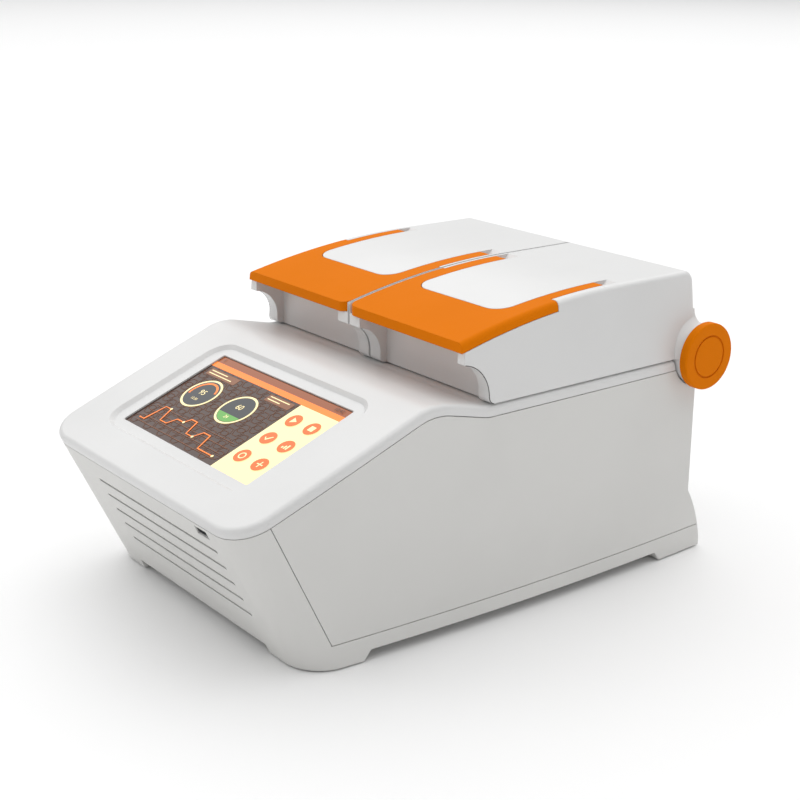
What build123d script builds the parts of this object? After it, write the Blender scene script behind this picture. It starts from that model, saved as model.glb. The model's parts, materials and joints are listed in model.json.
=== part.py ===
"""Twin-block thermal cycler: housing, leaning screen bezel, two hinged hot lids with lever handles.

Frame: millimetres, +X to the right as seen from the front, +Y to the rear, +Z up.
The origin is the centre of the footprint on the bench.
"""
import math
import os

from build123d import *

os.makedirs("parts", exist_ok=True)

# Driving dimensions of the housing
total_depth = 400.0        # front lip to the tail of the rear feet
half_width = 126.3         # side walls at deck height, from the middle
side_bow = 5.2             # how far the side walls belly out low down
wall = 3.0                 # moulded wall
seam = 0.5                 # gap between neighbouring mouldings
tail_flare = 16.0          # rear feet stand out this far behind the rear face
flare_z = 48.0             # height where the rear face starts to flare
tail_foot_z = 6.0          # the flare ends here, just above the bench
lip_z = 105.0              # top of the front lip
panel_tilt = 21.0          # slope of the screen bezel, degrees
crest_fall = 13.2          # slope behind the crest, degrees
front_lean = 25.7          # the grille wall leans back going down, degrees
corner_r = 27.0            # front corners in plan
front_taper = 4.0          # side walls draw in by this much at the front
strip_h = 7.2              # side band of the top cover above its seam
skirt_z = 7.8              # underside of the housing
foot_z = 1.0               # moulded feet end here, the rubber pads reach the bench
tray_z = 17.8              # seam between side panels and base tray
seam_offset = 25.0         # slanted side seam behind the grille wall
deck_z = 150.3             # flat deck under the lids
crest_r = 40.0             # rounding of the crest
valley_r = 30.0            # rounding where the crest runs out on the deck
edge_r = 3.5               # soft edge all round the top cover

# Hinge and lids
hinge_inset = 0.5          # hinge axis in front of the rear face
hinge_above_deck = 1.7     # hinge axis above the deck
lid_gap = 1.0              # seam between deck and lids
lid_split = 1.0            # half the gap between the two lids
lid_share = 0.47375        # hinge axis to the front wall of a lid, as a share of the depth
lid_side_out = 0.4         # lids stand out past the side walls
lid_draft = 8.0            # outer lid side leans in, degrees
lid_top_z = 210.5          # highest line of the lids
crown_r = 600.0            # lid top curves down to the front with this radius
crown_start = 116.0        # the curve starts this far behind the lid's front wall
lid_wall = 2.5
lid_tail_r = 8.0           # rounding of the lid's rear top edge
cheek_w = 11.5             # cove-fronted side cheeks of a lid
cheek_out = 5.5            # cheeks stand this far in front of the middle wall
cove_r = 21.0              # cove under the front corners
overhang = 23.5            # corner blocks stand this far in front of the lid wall
lid_floor_t = 2.5

# Lever handles
handle_t = 6.5             # thickness of the handle plate
handle_nose = 2.0          # handle stands this far in front of the corner blocks
handle_gap = 0.4           # gap round the handle in its pocket
wide_part = 58.0           # full-width part of the handle, behind the lid's front wall
arm_part = 108.5           # the arms end this far behind it
ramp_part = 119.0          # the recess behind the arms runs out here
arm_out = 112.0            # outer edge of the outer arm
arm_w = 10.8
inner_arm_in = 3.6         # inner edge of the inner arm, from the middle
panel_start = 21.0         # front edge of the white panel behind it
panel_r = 13.0             # its front corners
pivot_r = 1.5              # handle pivot pin
handle_edge = 0.8          # handle to the lid's inner side
pocket_gap = 0.3           # handle above the floor of its pocket
nose_r = 7.0               # front corners of the handle
shoulder_r = 4.0           # soft outer edge of a lid

# Hinge parts
cap_r = 24.0
cap_t = 6.0
cap_face = 138.3           # outer face of the hinge cap, from the middle
ear_r = 21.5               # round ear of the lid behind the cap
ear_w = 14.0               # ear width, measured in from the lid's side
notch_gap = 1.5            # ear to housing notch
neck_r = 10.0              # hollow blend between a lid's side and its ear
cap_ring_r = 15.5          # ring groove in the cap
knuckle_r = 9.0            # hinge blocks and inner knuckles
hinge_pin_r = 4.0
run_fit = 0.05             # running clearance on a radius

# Sample blocks, one under each lid
well_pitch = 9.0
column_count = 6
row_count = 8
well_r = 2.7
well_depth = 13.0
block_margin = 6.5
block_h = 20.0
block_drop = 3.8           # block face below the deck
block_share = 0.401        # centre of the blocks along a lid, from its front wall
bay_margin = 6.0           # deck opening past the block
plate_gap = 1.6            # hot plate above the block
plate_lift = 3.0           # hot plate travel

# Screen
screen_w = 154.08
screen_l = 85.92
screen_share = 0.192       # centre of the screen behind the front lip, as a share of the depth
dish_w = 181.4             # shallow dish round the screen
dish_l = 108.0
dish_r = 17.0
dish_depth = 2.7
glass_drop = 1.2           # glass below the floor of the dish
glass_t = 1.8
glass_margin = 5.0
display_t = 6.0

# Vents, recesses and ports
vent_count = 5
vent_top = 81.5            # height of the top slot
vent_pitch = 12.0
vent_h = 2.4
vent_left, vent_right = -66.0, 85.0
usb_x, usb_z = 76.5, 93.0  # middle of the port on the grille wall
usb_w, usb_h, usb_deep = 13.1, 5.7, 14.0
grip_depth = 1.6           # shallow hand recess in each side
grip_low, grip_high = 33.7, 71.0
grip_from_front = 96.5     # recess behind the front lip
grip_from_rear = 41.5      # and in front of the rear face
grip_r = 17.0
fan_size = 80.0
fan_t = 25.0
fan_z = 88.0               # height of the fan shafts
blade_count = 7
fin_count = 13
fin_t = 1.6
sink_base_t = 8.0
sink_deep = 46.0           # base and fins together
sink_w, sink_l = 96.0, 112.0
peltier_t = 3.8
chassis_t = 1.5
boss_h = 4.0               # chassis plate above the tray floor
rest_fit = 0.3             # clearance between a piece and its seat
pad_r, pad_t = 9.0, 2.5    # rubber feet

# Values worked out from the above
front_y = -total_depth / 2
tail_y = total_depth / 2
rear_y = tail_y - tail_flare
hinge_y = rear_y - hinge_inset
hinge_z = deck_z + hinge_above_deck
lid_z = deck_z + lid_gap
lid_length = lid_share * total_depth
lid_front = hinge_y - lid_length
lid_side = half_width + lid_side_out
lid_mid = (lid_side + lid_split) / 2
cheek_front = lid_front - cheek_out
block_front = lid_front - overhang
handle_front = block_front - handle_nose
crown_y = lid_front + crown_start
handle_wide_end = lid_front + wide_part
handle_arm_end = lid_front + arm_part
ramp_end = lid_front + ramp_part
panel_front = lid_front + panel_start
block_y = lid_front + block_share * lid_length
screen_y = front_y + screen_share * total_depth
grip_front = front_y + grip_from_front
grip_back = rear_y - grip_from_rear
block_z = deck_z - block_drop
under_deck = deck_z - wall / math.cos(math.radians(panel_tilt))
block_w = (column_count - 1) * well_pitch + 2 * block_margin
block_l = (row_count - 1) * well_pitch + 2 * block_margin
slope = math.tan(math.radians(panel_tilt))
fall = math.tan(math.radians(crest_fall))
lean = math.tan(math.radians(front_lean))
sides = {"left": -1, "right": 1}


# The hinge caps reach further back than the feet, and the soft edge of the lip takes off a little in front
lip_soft = 1.305
middle_y = (front_y + lip_soft + hinge_y + cap_r) / 2


def save(name, shape):
    """Write one piece, with the origin moved to the middle of the space the instrument takes up."""
    piece = Pos(0, -middle_y, 0) * shape
    piece.label = name
    export_step(piece, "parts/" + name + ".step")


def box(x0, x1, y0, y1, z0, z1):
    """A block between two corners."""
    size = (abs(x1 - x0), abs(y1 - y0), abs(z1 - z0))
    return Pos((x0 + x1) / 2, (y0 + y1) / 2, (z0 + z1) / 2) * Box(*size)


def rod(r, x0, x1, y, z):
    """A round bar along X."""
    return Pos((x0 + x1) / 2, y, z) * Rot(0, 90, 0) * Cylinder(r, abs(x1 - x0))


def side_prism(outline, x0, x1):
    """A side-view face (drawn in y, z) pushed out along X from x0 to x1."""
    low, high = min(x0, x1), max(x0, x1)
    return Pos(low, 0, 0) * extrude(Plane.YZ * outline, amount=high - low, dir=(1, 0, 0))


def polygon(*points):
    """A straight-sided face through the points."""
    return make_face(Polyline(*points, close=True))


def fillet_at(face, radius, *places):
    """Round the corners of a flat face that lie nearest to the places."""
    corners = []
    for place in places:
        corners.append(min(face.vertices(), key=lambda v: (Vector(*v) - Vector(*place, 0)).length))
    return fillet(corners, radius)


def mirrored(shape, side):
    """The right-hand piece as it is, or its mirror image for the left."""
    return shape if side > 0 else mirror(shape, Plane.YZ)


def front_wall_y(z):
    """Outer face of the grille wall at a height."""
    return front_y + (lip_z - z) * lean


# The crest is where the bezel slope meets the slope behind it
valley_y = lid_front - 6.4
crest_y = (deck_z + fall * valley_y - lip_z + slope * front_y) / (slope + fall)
crest_z = lip_z + (crest_y - front_y) * slope
beyond = 90.0                                # cutting shapes reach this far past the housing


def top_line(drop, low):
    """Region between a height and the top cover's surface lowered by drop, drawn in y, z."""
    start_y = front_y - beyond
    start_z = lip_z - beyond * slope - drop
    end_y = tail_y + beyond
    face = polygon((start_y, low), (start_y, start_z), (crest_y, crest_z - drop),
                   (valley_y, deck_z - drop), (end_y, deck_z - drop), (end_y, low))
    face = fillet_at(face, crest_r, (crest_y, crest_z - drop))
    return fillet_at(face, valley_r, (valley_y, deck_z - drop))


def rear_line(inset):
    """Region in front of the housing's rear face, drawn in y, z."""
    back, tail = rear_y - inset, tail_y - inset
    top, far, bottom = deck_z + beyond, front_y - beyond, -20
    knee = (back + 0.64 * tail_flare, flare_z * 0.58)
    corners = ((back, flare_z), (back, top), (far, top), (far, bottom), (tail, bottom), (tail, tail_foot_z))
    line = Polyline(*corners)
    return make_face(line + ThreePointArc((tail, tail_foot_z), knee, (back, flare_z)))


def plan_face(z, inset, bow):
    """Outline of the housing seen from above, at a height."""
    x = half_width - inset
    y0 = front_wall_y(z) + inset / math.cos(math.radians(front_lean))
    y1 = tail_y + 20
    mid = (front_wall_y(0) + tail_y) / 2 + 10
    xf = x - front_taper
    outline = Line((-xf, y0), (xf, y0)) + ThreePointArc((xf, y0), (x + bow, mid), (x, y1))
    outline += Line((x, y1), (-x, y1)) + ThreePointArc((-x, y1), (-x - bow, mid), (-xf, y0))
    face = fillet_at(make_face(outline), corner_r - inset, (-xf, y0), (xf, y0))
    return Pos(0, 0, z) * face


def housing(inset, drop, low):
    """Solid body of the housing, inset from the outside, from a height up to the cover's surface."""
    skin = loft([plan_face(0, inset, side_bow), plan_face(crest_z + 6, inset, 0.2)], ruled=True)
    return skin & side_prism(top_line(drop, low), -reach, reach) & side_prism(rear_line(inset), -reach, reach)


def soften_top(body):
    """Round the edges that run round the top cover's surface."""
    tops = [f for f in body.faces() if f.normal_at(f.center()).Z > 0.8]
    shared = []
    for face in tops:
        for edge in face.edges():
            shared.append((tuple(round(v, 2) for v in edge.center()), edge))
    places = [place for place, edge in shared]
    rim = [edge for place, edge in shared if places.count(place) == 1]
    return fillet(rim, edge_r)


def xy_prism(face, z0, z1):
    """A plan-view face pushed up from z0 to z1."""
    return Pos(0, 0, z0) * extrude(face, amount=z1 - z0, dir=(0, 0, 1))


def rounded(x, y, w, length, r, z0, z1):
    """An upright block with rounded corners."""
    return Pos(x, y, z0) * extrude(RectangleRounded(w, length, r), amount=z1 - z0)


reach = half_width + side_bow + 10
outer = soften_top(housing(0, 0, skirt_z))
inner = housing(wall, deck_z - under_deck, skirt_z + wall)
shell = outer - inner

# Openings round the hinges, cut out of every housing moulding
ear_in = lid_side - ear_w
notch_r = ear_r + notch_gap
knuckle_gap = 1.0
block_out = ear_in - 1.2                     # outer hinge block, outer end
block_in = block_out - 13.0
centre_half = 14.0                           # half the centre hinge block
inner_knuckle = (centre_half + 1.0, centre_half + 12.0)
hinge_cuts = []
for side in sides.values():
    hinge_cuts.append(rod(notch_r, side * (ear_in - notch_gap / 2), side * reach, hinge_y, hinge_z))
    knuckle_cut = rod(knuckle_r + knuckle_gap, side * (block_in - knuckle_gap), side * ear_in, hinge_y, hinge_z)
    hinge_cuts.append(knuckle_cut)
centre_cut = inner_knuckle[1] + knuckle_gap
hinge_cuts.append(rod(knuckle_r + knuckle_gap, -centre_cut, centre_cut, hinge_y, hinge_z))

# Screen frame: local x to the right, local y up the slope, local z out of the bezel
bezel_z = lip_z + (screen_y - front_y) * slope
bezel = Plane(origin=(0, screen_y, bezel_z), x_dir=(1, 0, 0), z_dir=(0, -slope, 1))


def on_bezel(shape):
    """Place a shape drawn at the middle of the screen onto the sloping bezel."""
    return bezel * shape


def panel(w, length, r, z0, z1):
    """A rounded plate on the bezel between two depths, zero at the bezel's surface."""
    plate = extrude(RectangleRounded(w, length, r), amount=z1 - z0)
    return on_bezel(Pos(0, 0, z0) * plate)


# Top cover
glass_z = -dish_depth - glass_drop
upper = shell - side_prism(top_line(strip_h, skirt_z - 5), -reach, reach)
backing = panel(dish_w + 8, dish_l + 8, dish_r + 4, glass_z, -0.5)
dish = on_bezel(Pos(0, 0, -dish_depth) * extrude(RectangleRounded(dish_w - 2 * dish_depth, dish_l - 2 * dish_depth,
                dish_r - dish_depth), amount=dish_depth + 0.01, taper=-45))
window = panel(screen_w + 1, screen_l + 1, 1.5, glass_z - 5, 2)
top_cover = upper + backing - dish - window
bay_w, bay_l = block_w + 2 * bay_margin, block_l + 2 * bay_margin
latch_y = lid_front + 14.0
latch_w = 10.0
slot_front, slot_back = latch_y - 10.0, latch_y + 5.4
for side in sides.values():
    top_cover -= rounded(side * lid_mid, block_y, bay_w, bay_l, 6, deck_z - 12, deck_z + 5)
    top_cover -= box(side * lid_mid - latch_w, side * lid_mid + latch_w, slot_front, slot_back,
                     deck_z - 12, deck_z + 5)
for cut in hinge_cuts:
    top_cover -= cut
save("top_cover", top_cover)

# Lower housing mouldings
lower = shell & side_prism(top_line(strip_h + seam, skirt_z - 5), -reach, reach)
seam_top, seam_far = deck_z + beyond, total_depth


def front_zone(grow):
    """Region in front of the slanted side seam and under the tray seam, in side view."""
    y_top = front_wall_y(seam_top) + seam_offset + grow
    y_low = front_wall_y(tray_z + grow) + seam_offset + grow
    return polygon((-seam_far, -10), (-seam_far, seam_top), (y_top, seam_top), (y_low, tray_z + grow),
                   (seam_far, tray_z + grow), (seam_far, -10))


tray = lower & side_prism(front_zone(0), -reach, reach)
foot_band = housing(0, 0, foot_z) & box(-reach, reach, front_y - beyond, tail_y + 5, foot_z, skirt_z + 1)
foot_len, foot_w, foot_slant = 46.0, 46.0, 6.0
foot_front = front_wall_y(foot_z)


def foot_zone(y0, y1, lean_front, lean_back):
    """Side view of a foot whose ends lean inwards going down."""
    return polygon((y0, skirt_z), (y1, skirt_z), (y1 - lean_back, foot_z - 1), (y0 + lean_front, foot_z - 1))


foot_in = half_width - foot_w
feet_zone = side_prism(foot_zone(foot_front - 10, foot_front + foot_len, 0, foot_slant), foot_in, reach)
feet_zone += side_prism(foot_zone(tail_y - foot_len - 4, tail_y + 5, foot_slant, 0), foot_in, reach)
feet_zone += mirror(feet_zone, Plane.YZ)
tray += foot_band & feet_zone
pad_places = []
for side in sides.values():
    pad_places.append((side * (half_width - 18), foot_front + 24))
    pad_places.append((side * (half_width - 18), tail_y - 24))
for x, y in pad_places:
    tray -= Pos(x, y, foot_z + pad_t / 2 - 0.5) * Cylinder(pad_r + 0.2, pad_t)

# Louvre slots in the grille wall, each cut square to the wall
def on_wall(x, z, shape):
    """Place a shape on the grille wall at a height, local z pointing out of the wall."""
    plane = Plane(origin=(x, front_wall_y(z), z), x_dir=(1, 0, 0), z_dir=(0, -1, -lean))
    return plane * shape


vent_len = vent_right - vent_left
for row in range(vent_count):
    slot = Pos(0, 0, -wall * 2) * extrude(SlotOverall(vent_len, vent_h), amount=wall * 3)
    tray -= on_wall((vent_left + vent_right) / 2, vent_top - row * vent_pitch, slot)
tray -= on_wall(usb_x, usb_z, Box(usb_w + 0.6, usb_h + 0.6, wall * 4))
tray_floor = skirt_z + wall
chassis_z = tray_floor + boss_h
chassis_w = 208.0
chassis_front = front_y + 70.0               # behind the front lip
chassis_back = rear_y - 16.0                 # in front of the rear panel
boss_places = []
for x in (-1, 1):
    for y in (chassis_front + 12, (chassis_front + chassis_back) / 2, chassis_back - 12):
        boss_places.append((x * (chassis_w / 2 - 10), y))
for x, y in boss_places:
    tray += Pos(x, y, tray_floor + boss_h / 2) * Cylinder(5, boss_h)
    tray -= Pos(x, y, skirt_z + 4) * Cylinder(1.6, 30)
save("base_tray", tray)
screws = Compound([Pos(x, y, 0) * (Pos(0, 0, chassis_z + chassis_t + 1.2) * Cylinder(3.2, 2.4)
                                   + Pos(0, 0, chassis_z) * Cylinder(1.55, 8)) for x, y in boss_places])
save("chassis_screws", screws)
save("rubber_feet", Compound([Pos(x, y, pad_t / 2) * Cylinder(pad_r, pad_t) for x, y in pad_places]))

# Side panels and rear panel
return_lip = 2.0
side_in = half_width - wall - return_lip
behind = lower - side_prism(front_zone(seam), -reach, reach)
grip = Pos(0, (grip_front + grip_back) / 2, (grip_low + grip_high) / 2) * Rot(90, 0, 90) * extrude(
    RectangleRounded(grip_back - grip_front, grip_high - grip_low, grip_r), amount=reach + 20)
grip_skin = grip - housing(grip_depth, 0, skirt_z)
for name, side in sides.items():
    side_panel = behind & box(side * side_in, side * reach, front_y, tail_y + 5, 0, deck_z + 20)
    side_panel -= mirrored(grip_skin, side)
    for cut in hinge_cuts:
        side_panel -= cut
    save("side_panel_" + name, side_panel)

rear_half = side_in - seam
rear_panel = behind & box(-rear_half, rear_half, rear_y - 12, tail_y + 5, 0, deck_z + 20)
for cut in hinge_cuts:
    rear_panel -= cut
inlet_x, inlet_z = 62.0, 32.0
inlet_w, inlet_h, inlet_deep = 27.0, 20.0, 22.0
switch_step, switch_w, switch_h = 40.0, 14.0, 20.0
switch_x = inlet_x - switch_step
grille_rows, grille_pitch, grille_slot = 9, 8.0, 4.0
for side in sides.values():
    for row in range(grille_rows):
        z = fan_z + (row - (grille_rows - 1) / 2) * grille_pitch
        rise = min(abs(z - fan_z), fan_size / 2 - 6)
        half = math.sqrt((fan_size / 2 - 3) ** 2 - rise ** 2)
        rear_panel -= box(side * lid_mid - half, side * lid_mid + half, rear_y - 8, rear_y + 8,
                          z - grille_slot / 2, z + grille_slot / 2)
# A flat pad in the flared part of the rear panel carries the inlet and the switch
pad_y = tail_y - 1.5
pad_low, pad_high = tray_z + seam, tray_z + 32.0
bezel_box = box(switch_x - 18, inlet_x + 26, rear_y - wall, pad_y, pad_low, pad_high)
rear_panel += bezel_box - box(switch_x - 15, inlet_x + 23, rear_y - wall - 1, pad_y - wall,
                              pad_low - 1, pad_high - wall)
rear_panel -= box(inlet_x - inlet_w / 2 - rest_fit, inlet_x + inlet_w / 2 + rest_fit, rear_y - 20, tail_y + 5,
                  inlet_z - inlet_h / 2 - rest_fit, inlet_z + inlet_h / 2 + rest_fit)
rear_panel -= box(switch_x - switch_w / 2 - rest_fit, switch_x + switch_w / 2 + rest_fit, rear_y - 20, tail_y + 5,
                  inlet_z - switch_h / 2 - rest_fit, inlet_z + switch_h / 2 + rest_fit)
save("rear_panel", rear_panel)

# Mains inlet: flanged body with an open socket and three blades
flange_t = 1.5
socket_deep = 15.0
inlet = box(inlet_x - inlet_w / 2 - 3, inlet_x + inlet_w / 2 + 3, pad_y, pad_y + flange_t,
            inlet_z - 13, inlet_z + 13)
inlet += box(inlet_x - inlet_w / 2, inlet_x + inlet_w / 2, pad_y - inlet_deep, pad_y,
             inlet_z - 10, inlet_z + 10)
inlet -= box(inlet_x - 12, inlet_x + 12, pad_y + flange_t - socket_deep, pad_y + 5, inlet_z - 8, inlet_z + 8)
blades = []
for dx, dz in ((-7, -2), (0, 2), (7, -2)):
    blades.append(box(inlet_x + dx - 1, inlet_x + dx + 1, pad_y + flange_t - socket_deep - 4, pad_y - 6,
                      inlet_z + dz - 2, inlet_z + dz + 2))
for blade in blades:
    inlet -= blade
save("mains_inlet", inlet)
save("inlet_blades", Compound(blades))

# Power switch: a frame with a rocker that tips about a cross axle
switch_deep = 16.0
rocker_y = pad_y - 3.0
frame_w, frame_h = switch_w + 4, switch_h + 4
switch_body = box(switch_x - frame_w / 2, switch_x + frame_w / 2, pad_y, pad_y + flange_t,
                  inlet_z - frame_h / 2, inlet_z + frame_h / 2)
switch_body += box(switch_x - switch_w / 2, switch_x + switch_w / 2, pad_y - switch_deep, pad_y,
                   inlet_z - switch_h / 2, inlet_z + switch_h / 2)
rocker_r = 8.2
switch_body -= box(switch_x - 5.5, switch_x + 5.5, rocker_y - 9, pad_y + 5, inlet_z - 9, inlet_z + 9)
axle_r = 1.2
switch_body += rod(axle_r, switch_x - 6, switch_x + 6, rocker_y, inlet_z)
save("switch_body", switch_body)
rocker_face = [(rocker_y - 4, -2.5), (rocker_y + 4.2, -8.0), (rocker_y + 3.0, 0), (rocker_y + 5.6, 7.6),
               (rocker_y - 4, 2.5)]
rocker = side_prism(polygon(*[(y, inlet_z + z) for y, z in rocker_face]), switch_x - 5.2, switch_x + 5.2)
rocker -= rod(axle_r + run_fit, switch_x - 7, switch_x + 7, rocker_y, inlet_z)
save("power_rocker", rocker)

# Chassis plate with folded rear flange, posts for the heat sinks
chassis = box(-chassis_w / 2, chassis_w / 2, chassis_front, chassis_back, chassis_z, chassis_z + chassis_t)
chassis += box(-chassis_w / 2, chassis_w / 2, chassis_front, chassis_front + chassis_t, chassis_z, chassis_z + 12)
for x, y in boss_places:
    chassis -= Pos(x, y, chassis_z) * Cylinder(1.6, 10)
chassis_top = chassis_z + chassis_t
sink_top = block_z - block_h - peltier_t
post_r = 4.0
posts = []
for side in sides.values():
    for dx in (-1, 1):
        for dy in (-1, 1):
            x = side * lid_mid + dx * (sink_w / 2 - 6)
            y = block_y + dy * (sink_l / 2 - 6)
            posts.append(Pos(x, y, (chassis_top + sink_top - sink_base_t) / 2) *
                         Cylinder(post_r, sink_top - sink_base_t - chassis_top))
save("chassis_plate", chassis)
save("heat_sink_posts", Compound(posts))

# Blocks, thermoelectric modules, heat sinks, fans
for name, side in sides.items():
    middle = side * lid_mid
    block = rounded(middle, block_y, block_w, block_l, 2, block_z - block_h, block_z)
    wells = []
    for i in range(column_count):
        for j in range(row_count):
            x = middle + (i - (column_count - 1) / 2) * well_pitch
            y = block_y + (j - (row_count - 1) / 2) * well_pitch
            wells.append(Pos(x, y, block_z - well_depth / 2) * Cone(well_r * 0.45, well_r, well_depth))
    block -= wells
    save("sample_block_" + name, block)
    frame = rounded(middle, block_y, bay_w - 2 * rest_fit, bay_l - 2 * rest_fit, 5.5, block_z - 8, deck_z - 0.8)
    frame += rounded(middle, block_y, bay_w + 8, bay_l + 8, 7, block_z - 10, under_deck - rest_fit)
    frame -= rounded(middle, block_y, block_w + 1, block_l + 1, 2.5, block_z - 20, deck_z + 5)
    save("block_surround_" + name, frame)
    modules = []
    for dx in (-1, 1):
        for dy in (-1, 0, 1):
            x, y = middle + dx * block_w / 4, block_y + dy * block_l / 3
            modules.append(box(x - block_w / 4 + 2, x + block_w / 4 - 2, y - block_l / 6 + 1, y + block_l / 6 - 1,
                               sink_top, block_z - block_h))
    save("thermoelectric_modules_" + name, Compound(modules))
    sink = box(middle - sink_w / 2, middle + sink_w / 2, block_y - sink_l / 2, block_y + sink_l / 2,
               sink_top - sink_base_t, sink_top)
    fin_span = sink_w - 2 * (post_r + 7)
    for i in range(fin_count):
        x = middle + (i / (fin_count - 1) - 0.5) * fin_span
        sink += box(x - fin_t / 2, x + fin_t / 2, block_y - sink_l / 2, block_y + sink_l / 2, sink_top - sink_deep,
                    sink_top - sink_base_t)
    save("heat_sink_" + name, sink)
    fan_y = rear_y - wall - rest_fit - fan_t
    fan = box(middle - fan_size / 2, middle + fan_size / 2, fan_y, fan_y + fan_t,
              fan_z - fan_size / 2, fan_z + fan_size / 2)
    tunnel = Pos(middle, fan_y + fan_t / 2, fan_z) * Rot(90, 0, 0)
    fan -= tunnel * Cylinder(fan_size / 2 - 3, fan_t + 2)
    hub_r, axle = 15.0, 2.0
    strut = Pos(middle, fan_y + 2, fan_z) * Rot(90, 0, 0) * Cylinder(hub_r, 4)
    for turn in (30, 150, 270):
        strut += Pos(middle, fan_y + 2, fan_z) * Rot(0, turn, 0) * box(0, fan_size / 2 - 2, -2, 2, -2.5, 2.5)
    fan += strut
    fan += Pos(middle, fan_y + 10, fan_z) * Rot(90, 0, 0) * Cylinder(axle, 16)
    save("fan_frame_" + name, fan)
    rotor = Pos(middle, fan_y + 13, fan_z) * Rot(90, 0, 0) * Cylinder(hub_r, 16)
    for k in range(blade_count):
        blade = Rot(0, k * 360 / blade_count, 0) * Pos((hub_r + fan_size / 2 - 5) / 2, 0, 0) * Rot(38, 0, 0) * Box(
            fan_size / 2 - 5 - hub_r + 2, 19, 1.2)
        rotor += Pos(middle, fan_y + 13.5, fan_z) * blade
    rotor -= Pos(middle, fan_y + 11, fan_z) * Rot(90, 0, 0) * Cylinder(axle + run_fit, 14.2)
    save("fan_rotor_" + name, rotor)

# Power supply on the chassis, in front of the heat sink posts
supply_w, supply_h = 120.0, 38.0
supply_back = block_y - sink_l / 2 - 10.0    # clear of the heat sinks
supply_front = chassis_front + 30.0          # room for the cables
supply_l = supply_back - supply_front
supply_y = (supply_back + supply_front) / 2
supply = box(-supply_w / 2, supply_w / 2, supply_y - supply_l / 2, supply_y + supply_l / 2,
             chassis_top, chassis_top + supply_h)
for k in range(9):
    x = -supply_w / 2 + 14 + k * 11
    supply -= box(x, x + 4, supply_y - supply_l / 2 + 12, supply_y + supply_l / 2 - 12,
                  chassis_top + supply_h - 1.2, chassis_top + supply_h + 1)
save("power_supply", supply)

# Screen: touch glass, display module, carrier frame and the control board behind it
glass_top = glass_z
glass_w, glass_l = screen_w + 2 * glass_margin, screen_l + 2 * glass_margin
save("touch_glass", panel(glass_w, glass_l, 2, glass_top - glass_t, glass_top))
display_top = glass_top - glass_t
display = panel(screen_w + 6, screen_l + 8, 1, display_top - display_t, display_top)
save("display_module", display)
carrier_t = 3.0
carrier = panel(glass_w + 6, glass_l + 6, 3, display_top - display_t - carrier_t, glass_top - 0.3)
carrier -= panel(glass_w + 0.6, glass_l + 0.6, 2, glass_top - glass_t, glass_top + 1)
carrier -= panel(screen_w + 6.6, screen_l + 8.6, 1, display_top - display_t, glass_top + 1)
carrier -= panel(screen_w - 20, screen_l - 20, 4, glass_top - 30, glass_top + 1)
save("display_carrier", carrier)
board_top = display_top - display_t - carrier_t
board_w, board_l, board_t = 150.0, 84.0, 1.6
board = panel(board_w, board_l, 2, board_top - board_t, board_top)
chips = ((-40, 10, 24, 24, 3), (10, 18, 30, 16, 4), (45, -12, 20, 28, 6), (-5, -22, 34, 10, 8))
for x, y, w, length, h in chips:
    board += on_bezel(Pos(x, y, board_top - board_t - h / 2) * Box(w, length, h))
save("control_board", board)

# Port behind the grille wall
shell_t = 0.5
port = on_wall(usb_x, usb_z, Pos(0, 0, -usb_deep / 2 - 0.8) * (Box(usb_w, usb_h, usb_deep) - Pos(0, 0, 1) * Box(
    usb_w - 2 * shell_t, usb_h - 2 * shell_t, usb_deep)))
port += on_wall(usb_x, usb_z, Pos(0, 1.1, -usb_deep / 2 - 1.8) * Box(usb_w - 2, 1.6, usb_deep - 2))
save("usb_port", port)

# Hinge blocks stand on the inside of the rear panel
web_l = 16.0


def hinge_block(x0, x1):
    """A knuckle on a web, bored for the hinge pins."""
    web = box(x0, x1, hinge_y - web_l, rear_y - wall - rest_fit, fan_z + fan_size / 2 + 2, under_deck - rest_fit)
    block = web + rod(knuckle_r, x0, x1, hinge_y, hinge_z)
    neck = box(x0, x1, hinge_y - knuckle_r + 1, rear_y - wall - rest_fit, deck_z - 6, hinge_z)
    return block + neck - rod(hinge_pin_r + run_fit, x0 - 1, x1 + 1, hinge_y, hinge_z)


save("hinge_block_right", hinge_block(block_in, block_out))
save("hinge_block_left", hinge_block(-block_out, -block_in))
save("hinge_block_centre", hinge_block(-centre_half, centre_half))


# Lids, drawn for the right-hand side
draft = math.tan(math.radians(lid_draft))
cove_z = lid_z + 7.0
cove_y = cheek_front - cove_r
toe_r = 4.0
crown_z0 = lid_top_z - crown_r


def crown_at(y, drop):
    """Height of the lid's top surface, lowered by drop, at a place."""
    return crown_z0 + math.sqrt((crown_r - drop) ** 2 - (crown_y - min(y, crown_y)) ** 2)


def crown_line(front, back, drop):
    """Top line of a lid piece in side view, from front to back."""
    half = (front + crown_y) / 2
    arc = ThreePointArc((front, crown_at(front, drop)), (half, crown_at(half, drop)), (crown_y, lid_top_z - drop))
    return arc + Line((crown_y, lid_top_z - drop), (back, lid_top_z - drop))


def under_crown(front, back, low, drop):
    """Side view of the space between a height and the lid's lowered top surface."""
    rest = Polyline((back, lid_top_z - drop), (back, low), (front, low), (front, crown_at(front, drop)))
    return make_face(crown_line(front, back, drop) + rest)


def end_prism(outline, y0, y1):
    """A front-view face (drawn in x, z) pushed back along Y from y0 to y1."""
    return Pos(0, y0, 0) * extrude(Plane.XZ * outline, amount=y1 - y0, dir=(0, 1, 0))


def lid_sides(inset, low):
    """Space between a lid's straight inner side and its leaning outer side."""
    high = lid_top_z + 10
    x0, x1 = lid_split + inset, lid_side - inset
    outline = polygon((x0, low), (x1 + (lid_z - low) * draft, low), (x1 + (lid_z - high) * draft, high), (x0, high))
    return end_prism(outline, front_y, tail_y + reach)


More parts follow.
